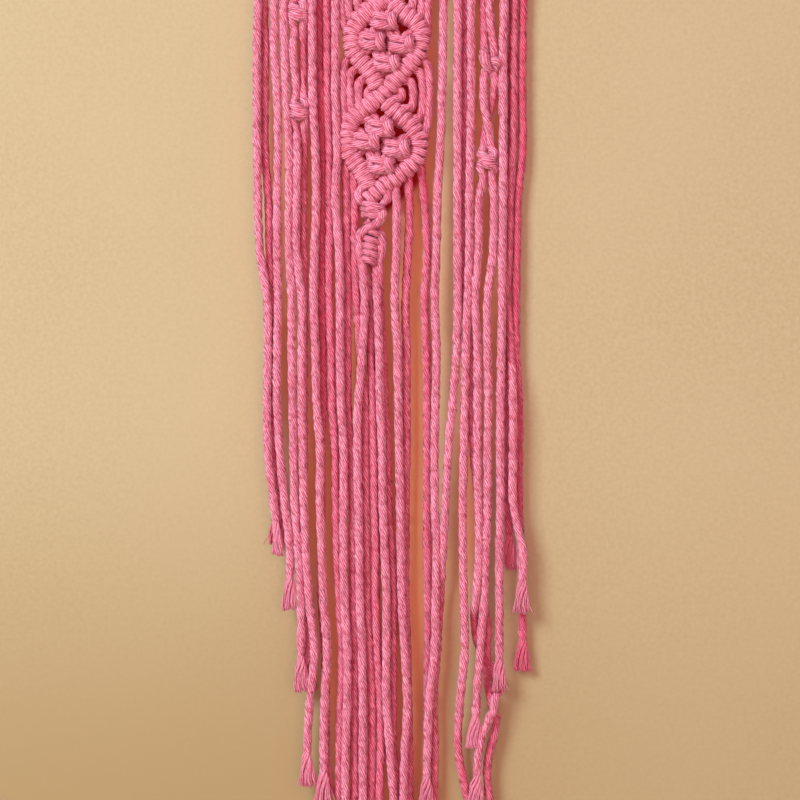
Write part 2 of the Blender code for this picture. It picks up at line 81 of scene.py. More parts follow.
# strand: (first level, layers, x at each level, drop of the tip, x of the tip)
FALLS = {
    "left_1a": (0, "f", (-73, -73.5, -73.5, -73.5, -73, -72, -68, -67.5, -68, -67.5, -64.5), 356, -61.5),
    "left_1b": (0, "b", (-70, -69.5, -69.5, -69.5, -67.5, -67, -66, -65.5, -65.5, -65.5, -62),
        350, -62.5),
    "left_2a": (0, "f", (-64, -64, -62.5, -62, -62.5, -62.5, -62, -62.5, -62.5, -61, -58.5,
        -55.5), 386, -56),
    "left_2b": (0, "f", (-59, -58.5, -57.5, -56, -56, -56, -54.5, -54.5, -54, -53.5, -53, -51, -49.5,
        -49.5), 431, -49),
    "left_3a": (0, "f", (-52.5, -54, -51, -51.5, -52, -52, -49, -49, -49, -48.5, -48, -47, -45, -42,
        -44.5, -46), 483, -45.5),
    "left_3b": (0, "b", (-48.5, -48.5, -48.5, -48, -48.5, -48.5, -48, -48, -48, -48, -48.5, -48, -47.5,
        -45.5), 431, -45),
    "left_4a": (0, "f", (-43.5, -43, -43, -41.5, -41, -42, -42.5, -41.5, -41, -39, -39, -38, -37, -35,
        -36.5, -37), 493, -37.5),
    "left_4b": (0, "m", (-40, -39.5, -38.5, -38, -37.5, -38, -38, -38, -37.5, -38.5, -38.5, -38.5,
        -38.5, -36.5, -36, -36), 490, -36),
    "left_5a": (0, "b", (-35.5, -35, -35, -34, -34, -34, -34, -33, -32.5, -31, -30.5, -30, -28.5,
        -27, -27.5, -28.5, -28.5), 515, -28.5),
    "left_5b": (0, "f", (-30.5, -30.5, -30.5, -29.5, -30.5, -28.5, -28, -28, -27.5, -26, -26, -26,
        -25.5, -24, -24, -25, -25), 522, -25),
    "chain_1b": (4, "b", (-24.5, -24.5, -24, -24, -24, -22.5, -21, -21, -20.5, -20, -20, -20, -20),
        512, -20),
    "chain_2a": (4, "b", (-20, -20, -19, -17, -14.5, -14.5, -14, -13.5, -13.5, -12, -10.5, -10.5, -11),
        520, -11.5),
    "chain_2b": (4, "r", (-14.5, -11.5, -7, -5.5, -4.5, -3.5, -3, -2, -1, -1, -1, 1, 3), 508, 3),
    "chain_3b": (6, "f", (-14.5, -15.5, -18, -18.5, -18, -17.5, -17, -16, -15.5, -15.5, -15.5), 524, -15),
    "chain_1a": (6, "b", (-11.5, -11, -10, -9.5, -9, -8.5, -8.5, -7.5, -6, -5.5, -6.5), 516, -6.5),
    "chain_5b": (6, "f", (-7.5, -6.5, -6, -5, -4.5, -3.5, -2.5, -2.5, -2.5, -0.5, 1.5), 526, 3.5),
    "chain_3a": (6, "b", (-6, -4.5, -3.5, -2, -1.5, 0, 1.5, 1, 1, 1, 4), 519, 5.5),
    "chain_4a": (4, "f", (3, 3, 2, 3.5, 4, 4.5, 5, 5.5, 6, 7.5, 9, 7.5, 7), 517, 7),
    "chain_4b": (4, "b", (10, 9.5, 8, 8.5, 8.5, 8.5, 8, 8, 8, 9, 9.5, 10, 10), 510, 10),
    "chain_5a": (4, "r", (18.5, 20, 18.5, 19.5, 20, 20, 20, 20, 20.5, 20.5, 20, 20), 495, 20),
    "right_1a": (0, "f", (29, 28.5, 28, 27, 25.5, 25, 24, 25, 24.5, 24, 24, 25, 24.5, 24, 21, 20, 19),
        496, 17.5),
    "right_1b": (0, "ffffffffffffbbbbb", (36.5, 36.5, 36.5, 36.5, 36.5, 36.5, 36.5, 36, 34, 31.5, 30,
        28.5, 27, 25.5, 23.5, 24, 23.5), 514, 24),
    "right_2a": (0, "bbbbbbbbbbbbbbrbb", (41, 41, 41, 40, 40, 40, 40, 44, 44, 45.5, 48, 49.5, 51, 53,
        54.5, 54.5, 54), 515, 55),
    "right_2b": (0, "fffffffffffffffbb", (44, 44, 44, 43.5, 43, 43, 42, 41, 40.5, 40, 39.5, 39.5, 40,
        40.5, 38, 37, 42), 509, 43.5),
    "right_3a": (0, "bbbbfffffffffbbff", (51, 54.5, 51.5, 52.5, 48.5, 48, 46, 47.5, 47.5, 47.5, 48, 48.5,
        46.5, 49.5, 57, 48.5, 46), 495, 45.5),
    "right_3b": (0, "f", (54, 54, 56, 51, 56.5, 56, 53, 53, 53.5, 53, 53, 52, 51, 49, 47), 462, 45.5),
    "right_4a": (0, "f", (62, 61.5, 61.5, 61.5, 61.5, 61, 61, 60.5, 60, 60, 60, 59.5, 59.5, 59.5),
        431, 59.5),
    "right_4b": (0, "r", (64.5, 64, 64, 64, 64, 62.5, 61.5, 62.5, 64, 64.5, 64.5), 364, 66),
    "right_5a": (0, "bbbbbbbffffff", (68, 67.5, 67.5, 67, 65.5, 65, 63.5, 65.5, 67, 67, 67, 72.5),
        388, 71),
    "right_5b": (0, "m", (73, 72.5, 72.5, 72.5, 70, 69.5, 69, 69, 70.5, 70.5, 70.5, 71.5, 72.5),
        421, 72.5),
}

# strand: places between the levels (drop, x, layer), where strands cross or swing out;
# a bend takes the place of a level closer than BEND_REACH to it
BEND_REACH = 9.0
BENDS = {
    "left_3a": ((65, -54.7, "f"), (78, -54, "f"), (121.5, -52, "f")),
    "left_3b": ((65, -48.7, "b"), (121.5, -48.2, "b")),
    "right_2a": ((396.5, 53.2, "b"), (418.5, 53.2, "r"), (427, 53.7, "r"), (436, 55, "b"),
        (446, 58, "b"), (455.5, 56.5, "b"), (461, 55, "b"), (473, 53, "b")),
    "right_3a": ((92, 56.5, "b"), (110, 54.5, "b"), (121, 52, "b"), (130, 50, "b"), (148, 49.5, "f"),
        (392, 46, "m"), (402, 47.5, "m"), (410, 50, "r"), (420, 57, "r"), (428, 60.5, "m"),
        (434, 57.2, "f"), (439, 56.5, "f"), (447, 53, "f"), (460, 48.7, "f"), (471, 47.5, "f")),
    "right_3b": ((92, 49.2, "f"), (110, 51.5, "f"), (121, 53.8, "f"), (130, 54.5, "f"), (148, 56, "f")),
    "right_5a": ((226, 65, "b"), (243, 66, "b"), (342, 70, "f"), (353, 72.5, "f")),
}

PAIR_KNOT_REACH = 10     # above and under a pair's knot
# where a side pair is knotted together: (x, drop, how tall, and how its strands leave it)
PAIR_KNOTS = {
    "left_3": ((-51.2, 57.7, 1, "beside"), (-50.4, 111.6, 1.1, "beside")),
    "right_3": ((53.5, 30.2, 1, "beside"), (54.4, 84.7, 1, "crossed"), (52.8, 139, 1, "beside")),
}

# ---- The chain: middles of its bars (x, drop), top to bottom, and its square knots

CROSSINGS = ((-1.6, 47.8), (-4.9, 102.2), (-10.5, 157.6))
LAST_RUN_OUT = ((-13.5, 160.2), (-16, 162.5))  # past the last crossing

BAR_LINES = {
    # the half diamond at the top: only its lower bars
    ("left", 0, "lower"): ((-21.8, 21), (-20.6, 25.5), (-17.6, 29.6), (-14, 33.6), (-10.4, 38.2),
        (-6.2, 42.9), CROSSINGS[0]),
    ("right", 0, "lower"): ((17, 21), (15.8, 25.7), (12.4, 30.4), (8.4, 35), (4.9, 39.2),
        (1.6, 43.4), CROSSINGS[0]),
    ("left", 1, "upper"): (CROSSINGS[0], (-8.7, 53.7), (-15, 59.2), (-19.4, 63.6), (-21.6, 68.4),
        (-21.9, 73.6)),
    ("left", 1, "lower"): ((-21.9, 73.6), (-20.8, 78), (-17.9, 82.1), (-14.6, 85.6), (-11.3, 90),
        (-8, 95.6), CROSSINGS[1]),
    ("right", 1, "upper"): (CROSSINGS[0], (1.3, 51.6), (4.5, 55.3), (9, 58.7), (12.7, 61.3),
        (15.7, 64.9), (16.9, 69.3), (16.5, 73.6)),
    ("right", 1, "lower"): ((16.5, 73.6), (15.6, 78.2), (12.3, 82.6), (8.6, 86.8), (5, 91),
        (1.2, 95.1), (-1.8, 98.8), CROSSINGS[1]),
    ("left", 2, "upper"): (CROSSINGS[1], (-8.9, 105.2), (-14.2, 109.4), (-19, 113.1), (-22.2, 117.2),
        (-23.6, 121.6), (-24, 125.8), (-23.9, 130)),
    ("left", 2, "lower"): ((-23.9, 130), (-23, 134.3), (-20.6, 138.2), (-17.6, 142),
        (-15, 146), (-12.8, 151), CROSSINGS[2]),
    ("right", 2, "upper"): (CROSSINGS[1], (-2, 106.8), (1.8, 110.8), (5.7, 114), (9.2, 117),
        (12.1, 120.4), (14.6, 123.6), (16, 127.6), (16.1, 131.5)),
    ("right", 2, "lower"): ((16.1, 131.5), (14.6, 136), (12, 140), (8.3, 143.3), (4.4, 146.2),
        (0.9, 148.9), (-3.2, 151.6), (-7, 154.6), CROSSINGS[2]),
}

# x at which the hitched strands hang outside the crossings, outermost first
OUTSIDE = {
    "left": (-25.9, -22.3, -17.4, -12.5),
    "right": (19.8, 16, 11, 5.5),
}
OUTSIDE_REACHES = (17, 12, 7, 2)  # above and under the crossing
# outermost first: the strands that are hitched onto the bars of each side
HITCHED = {
    "left": ("chain_1b", "chain_2a", "chain_2b", "chain_3a"),
    "right": ("chain_5a", "chain_4b", "chain_4a", "chain_3b"),
}
LEADERS = {"left": "chain_1a", "right": "chain_5b"}

# diamond: square knots (x, drop)
SQUARE_KNOTS = {
    0: {"left": (-10.2, 18.6), "right": (7, 19.4), "lower": (-1.7, 31.4)},
    1: {"upper": (-3.9, 62.1), "left": (-10.7, 73.1), "right": (5.5, 74.8), "lower": (-2.5, 85.5)},
    2: {"upper": (-6, 121), "left": (-13.8, 128.1), "right": (2.8, 132), "lower": (-5.5, 141.3)},
}

# the hitched strands' work in a diamond: (upper knot, side knot, lower knot)
KNOT_WORK = {
    "left": ((None, "bump", None), (None, "filler_left", None),
             ("bump", "filler_right", "bump"), ("filler_left", "wrap", "filler_left")),
    "right": ((None, "wrap", None), (None, "filler_right", None),
              ("wrap", "filler_left", "wrap"), ("filler_right", "bump", "filler_right")),
}

# the spiral under the chain: half knots (x, drop, turn, width) round its inner strands; in its
# foot the two inner strands are half knotted between the loops of the outer two
SPIRAL_HEAD = (
    (-9.9, 163.4, -6, 0.85), (-10, 166.5, 8, 0.8), (-10.2, 169.5, 20, 0.65), (-10.3, 172.4, 30, 0.5),
)
SPIRAL_FOOT = (
    (-9.8, 178.4, 10, 0.5), (-10.8, 182.2, -8, 0.6), (-11.9, 186, 8, 0.6), (-11.2, 189.6, -8, 0.62),
    (-12.2, 193.6, 12, 0.55),
)
SPIRAL_ENTRY = {
    "chain_3a": ((-16.4, -0.6, 153.6), (-17.9, -0.8, 157.4), (-16.8, -0.8, 160.4)),
    "chain_3b": ((-2.4, -0.6, 155.4), (-1.8, -0.8, 159.4)),
}
SPIRAL_LOOPS = {
    "chain_3a": ((-12.4, 3.6, 174.6), (-8, 2, 176.4), (-5.6, -1, 179.4), (-4.9, -2, 184),
        (-5.2, -2, 189), (-6.3, -0.8, 194)),
    "chain_3b": ((-4.4, -3, 167.6), (-5.8, -4.4, 171.4), (-9.2, -4.8, 174.4), (-13.8, -3.6, 176.4),
        (-16.8, -2.4, 179.4), (-17.6, -2, 184.4), (-17.2, -2, 189.6), (-16, -1, 195)),
}
SPIRAL_OUTER = {"chain_3a": "left", "chain_3b": "right"}
SPIRAL_INNER = {"chain_5b": "left", "chain_1a": "right"}
INNER_OFFSET = 1.4
INNER_GIRTH = 0.8


# ---- Routes: lists of marks that a strand's rope follows

def mark(x, depth, drop, flat=0.0, out=FRONT, girth=1.0):
    """A place on a strand's route: flat 1 is a cord pressed flat, with its plies side by side
    facing out, and girth is its thickness as a share of the cord's."""
    return (x, depth, -drop, flat, *out, girth)


def turned(points, x, drop, turn=0.0):
    """Marks for points (right, depth, down, flat, girth) of a knot at x, drop, turned about
    the upright."""
    cosine = math.cos(math.radians(turn))
    sine = math.sin(math.radians(turn))
    marks = []
    for right, depth, down, flat, girth in points:
        place = (x + right * cosine - depth * sine, right * sine + depth * cosine, drop + down)
        out = (sine, -cosine, 0.0) if depth < 0 else (-sine, cosine, 0.0)
        marks.append(mark(*place, flat, out, girth))
    return marks


# a square knot's strands, as (right, depth, down, flat, girth) from its middle
SQUARE_KNOT = {
    "wrap": (
        (5.6, 0.6, -4.4, 0, 0.95), (4, -1.6, -2.9, 0.4, 0.95), (1.4, -3.5, -2, 0.9, 1),
        (-1.8, -4, -2.7, 0.9, 1), (-4.6, -2.9, -3.2, 0.6, 1), (-6.3, 0, -1.8, 0.2, 0.95),
        (-6, -1.9, 0.6, 0, 1), (-3.9, -3.6, 2, 0, 1.1), (-1, -4.5, 2.5, 0, 1.15),
        (1.8, -3.6, 2.4, 0, 1.1), (4, -1.4, 3, 0, 1), (5.4, 0.6, 4.4, 0, 0.95)),
    "bump": (
        (-5.6, -1, -4.8, 0, 0.95), (-5.2, 1.2, -3, 0, 0.9), (-3, 3, -2.3, 0.3, 0.95),
        (0, 3.6, -2.2, 0.5, 1), (3.6, 3.2, -2.5, 0.3, 0.95), (5.9, 0.8, -2.9, 0, 0.95),
        (5.3, -3.2, -3, 0, 1), (4.3, -5.5, -1.3, 0, 1.15), (4.5, -5.7, 0.9, 0, 1.18),
        (5.4, -3.6, 2.9, 0, 1.05), (5.9, 0.6, 2.8, 0, 0.95), (3.4, 3.2, 2.4, 0.3, 0.95),
        (0, 3.6, 2.3, 0.5, 1), (-3.2, 3, 2.4, 0.3, 0.95), (-5.4, 1.2, 3, 0, 0.9),
        (-5.7, -0.8, 4.8, 0, 0.95)),
    "filler_left": (
        (-1.9, -0.2, -4.6, 0, 0.95), (-1.9, -1, 0, 0, 0.95), (-1.9, -0.2, 4.6, 0, 0.95)),
    "filler_right": (
        (1.9, -0.2, -4.6, 0, 0.95), (1.9, -1, 0, 0, 0.95), (1.9, -0.2, 4.6, 0, 0.95)),
}

# a half knot's strands: the one that passes in front, and the one that passes behind
HALF_KNOT = {
    "front": (
        (-6.6, 0.2, -1.6, 0, 0.85), (-5, -2.6, -1, 0.2, 0.85), (-2.4, -3.9, -0.5, 0.4, 0.85),
        (0, -4.4, 0, 0.5, 0.85), (2.4, -3.9, 0.5, 0.4, 0.85), (5, -2.6, 1, 0.2, 0.85),
        (6.6, 0.2, 1.6, 0, 0.85)),
    "behind": (
        (6.6, 0.2, -1.5, 0, 0.8), (4.6, 2.8, -0.6, 0.2, 0.8), (0, 3.9, 0, 0.5, 0.8),
        (-4.6, 2.8, 0.6, 0.2, 0.8), (-6.6, 0.2, 1.5, 0, 0.8)),
}

# a pair's knot: its left and its right strand, which leave it beside each other or crossed
PAIR_KNOT = {
    "beside": (
        ((-2, -0.4, -7.5, 0, 1), (-3.7, -1.6, -4.2, 0, 1), (-2.2, -3.9, -2.2, 0, 1.1),
         (1.4, -3.8, -0.2, 0, 1.1), (4.2, -0.8, 1.2, 0, 1), (2.6, 2.8, 0.6, 0, 1),
         (-1.6, 3.4, 0.2, 0, 1), (-4.4, 1, 1.6, 0, 1), (-3.6, -1.4, 4.4, 0, 1),
         (-2.2, -0.4, 7.5, 0, 1)),
        ((2.2, 0, -7.5, 0, 1), (3.6, -2.4, -3.6, 0, 1.1), (2.4, 0, -1, 0, 0.9),
         (-1.4, 0.6, 0.2, 0, 0.9), (-3.4, -2.4, 0.6, 0, 1.05), (-0.4, -4.4, 2, 0.2, 1.2),
         (3.2, -2.6, 2.6, 0, 1.05), (2.8, -0.2, 7.5, 0, 1))),
    "crossed": (
        ((-3.3, -0.4, -8, 0, 1), (-3.4, -2.6, -4.8, 0, 1.1), (-3.2, -4.5, -1.8, 0.2, 1.25),
         (-2.5, -4.6, 1, 0.2, 1.2), (-0.9, -3, 3.2, 0, 1), (1, -0.8, 4.6, 0, 1),
         (2.7, -0.4, 8, 0, 1)),
        ((2, 0, -8, 0, 1), (1.9, -1.2, -4.8, 0, 1.1), (1, -1.8, -2.2, 0, 1),
         (1.6, -3.8, -0.6, 0, 1.1), (3.3, -4.4, 0.4, 0, 1.2), (4.2, -2.6, 2.4, 0, 1.1),
         (2.6, 0.8, 3, 0, 1), (-1.4, 0.6, 3.4, 0, 1), (-3.4, -0.4, 8, 0, 1))),
}

# half a lark's head: over the front of the bight, round the holding cord, and down
LARKS_HEAD = (
    (0, -5.4, 10.6, 0.3), (-2.6, -4.8, 10.5, 0.2), (-4.1, -2, 10, 0), (-3.9, 1.6, 8.8, 0),
    (-3, 3.9, 6.2, 0), (-2.4, 2.6, 2.9, 0), (-2.2, 0, 2, 0), (-2.1, -2.8, 3, 0),
    (-2, -4, 6, 0), (-2, -2.6, 9.4, 0), (-2, -1, 13, 0),
)


def larks_head(cord, leg):
    """Marks of the left (-1) or right (+1) half of the lark's head that starts a folded cord."""
    return [mark(CORDS[cord] - leg * right, depth, drop, flat)
            for right, depth, drop, flat in LARKS_HEAD]


def fall(strand):
    """Marks of the strand's hanging length, from its first level to its tip."""
    level, layers, places, tip_drop, tip_x = FALLS[strand]
    bends = BENDS.get(strand, ())
    stations = []
    for i, x in enumerate(places):
        drop = FIRST_LEVEL + (level + i) * LEVEL_PITCH
        if all(abs(drop - bend[0]) > BEND_REACH for bend in bends):
            stations.append((drop, x, layers[min(i, len(layers) - 1)]))
    stations += bends
    stations.append((tip_drop, tip_x, layers[-1]))
    return [mark(x, LAYERS[layer], drop) for drop, x, layer in sorted(stations)]


# ---- Bars: a leader's run, and the strands hitched onto it

WRAP_REACH = 3.45        # from the leader's middle to the middle of a wrap
BACK_REACH = 4.3         # the second pass behind lies on the other two
BAR_CLEARANCE = 4.4      # a bar stops this far from the bar that crosses in front of it
CURVE_STEP = 0.25
HITCHED_WRAPS = 8        # two of each of the four strands hitched onto a bar
WRAPS_ON_A_SIDE = 9      # and with half the crossing's two
HITCH_TURN = 855         # the angle that a hitch goes round the leader, and its marks' step
HITCH_STEP = 45
# by the angle round the leader: how many pitches along it, how far out, and how much pressed
HITCH_RUN = ((0, 90, 225, 315, 450, 585, 675, 810, 855),
             (0.2, 0.35, 0.5, 0.5, 1.0, 1.5, 1.5, 1.65, 1.7))
HITCH_REACH = ((0, 270, 450, 630, 855),
               (WRAP_REACH, WRAP_REACH, BACK_REACH, WRAP_REACH, WRAP_REACH))
HITCH_PRESS = ((0, 90, 765, 855), (0, 1, 1, 0))


def soft_curve(points):
    """Points CURVE_STEP apart along the soft curve through the given ones (Catmull-Rom)."""
    points = np.array(points, float)
    gaps = np.linalg.norm(np.diff(points[:, :3], axis=0), axis=1)
    spans = np.sqrt(np.maximum(gaps, 1e-6))[:, None]
    rises = np.diff(points, axis=0) / spans
    before, after = spans[:-1], spans[1:]
    inner = (rises[:-1] * after + rises[1:] * before) / (before + after)
    slopes = np.vstack([rises[:1], inner, rises[-1:]])
    runs = []
    for i, gap in enumerate(gaps):
        share = np.linspace(0, 1, max(2, int(gap / CURVE_STEP)) + 1)[:-1, None]
        span = spans[i]
        runs.append(
            points[i] * (1 + 2 * share) * (1 - share) ** 2
            + slopes[i] * span * share * (1 - share) ** 2
            + points[i + 1] * (3 - 2 * share) * share ** 2
            - slopes[i + 1] * span * (1 - share) * share ** 2)
    return np.vstack(runs + [points[-1:]])


def distances(points):
    steps = np.linalg.norm(np.diff(points[:, :3], axis=0), axis=1)
    return np.concatenate([[0.0], np.cumsum(steps)])


def at_distances(curve, along, places):
    """A curve's columns at one place, or at each of many places, along it."""
    return np.array([np.interp(places, along, column) for column in curve.T]).T


def unit(vector):
    return vector / max(1e-9, float(np.linalg.norm(vector)))


def directions(points):
    """The way in which a curve runs at each of its points."""
    runs = np.gradient(points, axis=0)
    return runs / np.linalg.norm(runs, axis=1)[:, None]


class Bar:
    """The soft line of a leader, on which places are measured by their distance along it."""

    def __init__(self, line, leans):
        self.curve = soft_curve([(x, 0.0, -drop) for x, drop in line])
        self.along = distances(self.curve)
        self.length = self.along[-1]
        self.leans = leans       # +1 for a bar that runs down to the right, -1 to the left

    def at(self, distance):
        """The place at a distance, and the way across the bar to the side that is entered."""
        places = (distance - 1, distance, distance + 1)
        behind, place, ahead = at_distances(self.curve, self.along, places)
        run = unit(ahead - behind)
        return place, np.array((-run[2], 0.0, run[0])) * self.leans


def hitch(bar, start, pitch, flat):
    """Marks of a double half hitch: two wraps of a strand round the leader, side by side."""
    marks = []
    for angle in range(0, HITCH_TURN + 1, HITCH_STEP):
        middle, entry = bar.at(start + np.interp(angle, *HITCH_RUN) * pitch)
        turn = math.radians(angle)
        radial = entry * math.cos(turn) + np.array(BACK) * math.sin(turn)
        place = middle + radial * np.interp(angle, *HITCH_REACH)
        pressed = flat * np.interp(angle, *HITCH_PRESS)
        marks.append((*place, pressed, *radial, 1.0))
    return marks


RIDGED = 1.0             # how flat the wraps of the bars in front are pressed
CHUNKY = 0.6             # and those of the bars that pass behind at the crossings


BARS = {}
for (side, diamond, part), line in BAR_LINES.items():
    BARS[side, diamond, part] = Bar(line, 1 if (side == "left") == (part == "lower") else -1)


def hitch_on(side, diamond, part, k):
    """Marks of hitched strand k of a side, on one of its bars."""
    bar = BARS[side, diamond, part]
    place = (3 - k) if part == "upper" else k
    if bar.leans > 0:
        pitch = (bar.length - BAR_CLEARANCE) / HITCHED_WRAPS
        start = (BAR_CLEARANCE if part == "upper" else 0) + 2 * place * pitch
        return hitch(bar, start, pitch, CHUNKY)
    pitch = bar.length / WRAPS_ON_A_SIDE
    start = (pitch if part == "upper" else 0) + 2 * place * pitch
    return hitch(bar, start, pitch, RIDGED)


def crossing_hitch(number):
    """Marks of the leader that is hitched round the other one where the bars cross."""
    first, second = ("right", number, "lower"), ("left", number + 1, "upper")
    onward = BAR_LINES[second][1:] if second in BAR_LINES else LAST_RUN_OUT
    bar = Bar(BAR_LINES[first] + onward, -1)
    pitch = BARS[first].length / WRAPS_ON_A_SIDE
    return hitch(bar, BARS[first].length - pitch, pitch, RIDGED)


def along_bar(line):
    """Marks of a leader inside its bar."""
    return [mark(x, 0.0, drop) for x, drop in line]


def leader_route(side):
    """Marks of a leader from the half diamond to the spiral."""
    marks = []
    for diamond in range(3):
        if diamond > 0:
            marks += along_bar(BAR_LINES[side, diamond, "upper"][1:-1])
        line = BAR_LINES[side, diamond, "lower"]
        if side == "left":
            marks += along_bar(line[:-1]) + crossing_hitch(diamond)
            side = "right"
        else:
            marks += along_bar(line)
            side = "left"
    return marks


def hang_outside(side, k, diamond):
    """Marks of a hitched strand outside the crossing, between two diamonds."""
    x, reach, middle = OUTSIDE[side][k], OUTSIDE_REACHES[k], CROSSINGS[diamond][1]
    return [mark(x, 0.6, middle - reach), mark(x, 0.0, middle + reach)]


def diamond_knots(side, k, diamond):
    """Marks of a hitched strand through a diamond's square knots."""
    marks = []
    for where, work in zip(("upper", side, "lower"), KNOT_WORK[side][k]):
        if work and where in SQUARE_KNOTS[diamond]:
            marks += turned(SQUARE_KNOT[work], *SQUARE_KNOTS[diamond][where])
    return marks


def hitched_route(side, k):
    """Marks of a hitched strand from the half diamond to below the last bar."""
    marks = []
    for diamond in range(3):
        if diamond > 0:
            marks += hang_outside(side, k, diamond - 1)
            marks += hitch_on(side, diamond, "upper", k)
        marks += diamond_knots(side, k, diamond)
        marks += hitch_on(side, diamond, "lower", k)
    return marks


def half_knots(rows, side):
    """Marks of the strand that starts on a side of a row of half knots."""
    marks = []
    for i, (x, drop, turn, width) in enumerate(rows):
        passes_front = (i % 2 == 0) == (side == "left")
        points = np.array(HALF_KNOT["front" if passes_front else "behind"]) * (width, 1, 1, 1, 1)
        marks += turned(points, x, drop, turn)
    return marks


def spiral_route(strand):
    """Marks of one of the four strands of the spiral."""
    if strand in SPIRAL_OUTER:
        rows = SPIRAL_HEAD if strand == "chain_3a" else SPIRAL_HEAD[:2]
        marks = [mark(*place) for place in SPIRAL_ENTRY[strand]]
        marks += half_knots(rows, SPIRAL_OUTER[strand])
        return marks + [mark(*place) for place in SPIRAL_LOOPS[strand]]
    side = SPIRAL_INNER[strand]
    offset = -INNER_OFFSET if side == "left" else INNER_OFFSET
    marks = [mark(row[0] + offset, 0.0, row[1], girth=INNER_GIRTH) for row in SPIRAL_HEAD]
    return marks + half_knots(SPIRAL_FOOT, side)


def chain_route(strand):
    """Marks of a chain strand's knotted stretch."""
    for side, names in HITCHED.items():
        if strand in names:
            marks = hitched_route(side, names.index(strand))
    for side, name in LEADERS.items():
        if strand == name:
            marks = leader_route(side)
    if strand in SPIRAL_OUTER or strand in SPIRAL_INNER:
        marks += spiral_route(strand)
    return marks


def strand_name(cord, leg):
    return cord + ("a" if leg < 0 else "b")


def side_route(cord, leg):
    """Marks of a side strand, with the knots that tie it to its neighbour."""
    marks = fall(strand_name(cord, leg))
    for x, drop, stretch, way in PAIR_KNOTS.get(cord, ()):
        points = np.array(PAIR_KNOT[way][int(leg > 0)]) * (1, 1, stretch, 1, 1)
        reach = PAIR_KNOT_REACH * stretch
        above = [m for m in marks if -m[2] < drop - reach]
        below = [m for m in marks if -m[2] > drop + reach]
        marks = above + turned(points, x, drop) + below
    return marks


def strand_route(cord, leg):
    """All marks of one of a folded cord's two strands, from the bight to the tip."""
    strand = strand_name(cord, leg)
    if cord.startswith("chain"):
        return larks_head(cord, leg) + chain_route(strand) + fall(strand)
    return larks_head(cord, leg) + side_route(cord, leg)


# ---- Rope: the skin of a strand along its route

# half of a flattened cord's outline, from the middle of its back to the middle of its
# front: shares of its width and thickness, crests and grooves by turns
HALF_RIBBON = ((0, -0.48), (0.14, -0.42), (0.28, -0.46), (0.4, -0.33), (0.47, -0.2), (0.5, -0.04),
               (0.46, 0.16), (0.38, 0.32), (0.27, 0.45), (0.14, 0.44), (0, 0.55))
LONGEST_STEP = 1.4       # between a rope's rings where it runs straight
SHORTEST_STEP = 0.55
TURN_STEP = 0.34         # how far a rope may turn between two rings, in radians


def ribbon_outline():
    """The flattened outline, turning from the back's middle round the front."""
    left = [(-across, out) for across, out in HALF_RIBBON]
    right = list(reversed(HALF_RIBBON[1:-1]))
    return np.array(left + right) * (RIBBON_WIDTH, RIBBON_THICKNESS)


def round_angles(count):
    return np.arange(count) * 2 * math.pi / count


def yarn_reaches(places, dice):
    """Distance from the cord's middle to each point of each ring: uneven yarns with grooves."""
    def slow_waves():
        rates = np.array([dice.uniform(0.25, 0.8) for _ in range(YARNS)])
        phases = np.array([dice.uniform(0, 6.28) for _ in range(YARNS)])
        return np.sin(np.outer(places, rates) + phases)
    swell = 1 + SWELLING * np.sin(places * dice.uniform(0.35, 0.5) + dice.uniform(0, 6.28))
    reaches = np.repeat(1 + UNEVEN * slow_waves(), 2, axis=1) * CORD_RADIUS * swell[:, None]
    reaches[:, 1::2] *= 1 - GROOVE * (1 + 0.6 * slow_waves())
    return reaches


def ring_places(curve):
    """Distances of the rings along a curve: closer where it turns."""
    along = distances(curve)
    turns = np.gradient(directions(curve[:, :3]), axis=0)
    bends = np.linalg.norm(turns, axis=1) / np.gradient(along)
    steps = np.clip(TURN_STEP / np.maximum(bends, 1e-6), SHORTEST_STEP, LONGEST_STEP)
    rings = np.concatenate([[0.0], np.cumsum(np.diff(along) / steps[1:])])
    count = int(math.ceil(rings[-1])) + 1
    return np.interp(np.linspace(0, rings[-1], count), rings, along), along


def carried_frames(places):
    """The run of a curve at its places, with a sideways direction carried along without twist."""
    runs = directions(places)
    side = unit(np.cross(runs[0], (0.3, 0.9, 0.1)))
    sides = []
    for run in runs:
        side = unit(side - run * np.dot(side, run))
        sides.append(side)
    return runs, np.array(sides)


def yarn_turns(runs, sides, others, outs, flats, along, start):
    """How far the yarns have turned at each ring, and which yarn faces out where they lie flat."""
    turns, faces = [], []
    yarn_angle = 2 * math.pi / YARNS
    turn, face, is_pressed = start, 0, False
    for i, flat in enumerate(flats):
        pressed = min(1.0, 2.5 * flat)
        if i:
            turn -= 2 * math.pi / LAY * (along[i] - along[i - 1]) * (1 - pressed)
        if pressed > 0:
            wanted = math.atan2(np.dot(outs[i], others[i]), np.dot(outs[i], sides[i]))
            if not is_pressed:
                face = -round((wanted - turn) / yarn_angle)
            turn += pressed * math.remainder(wanted + face * yarn_angle - turn, 2 * math.pi)
        is_pressed = pressed > 0
        turns.append(turn)
        faces.append(face)
    return np.array(turns), faces


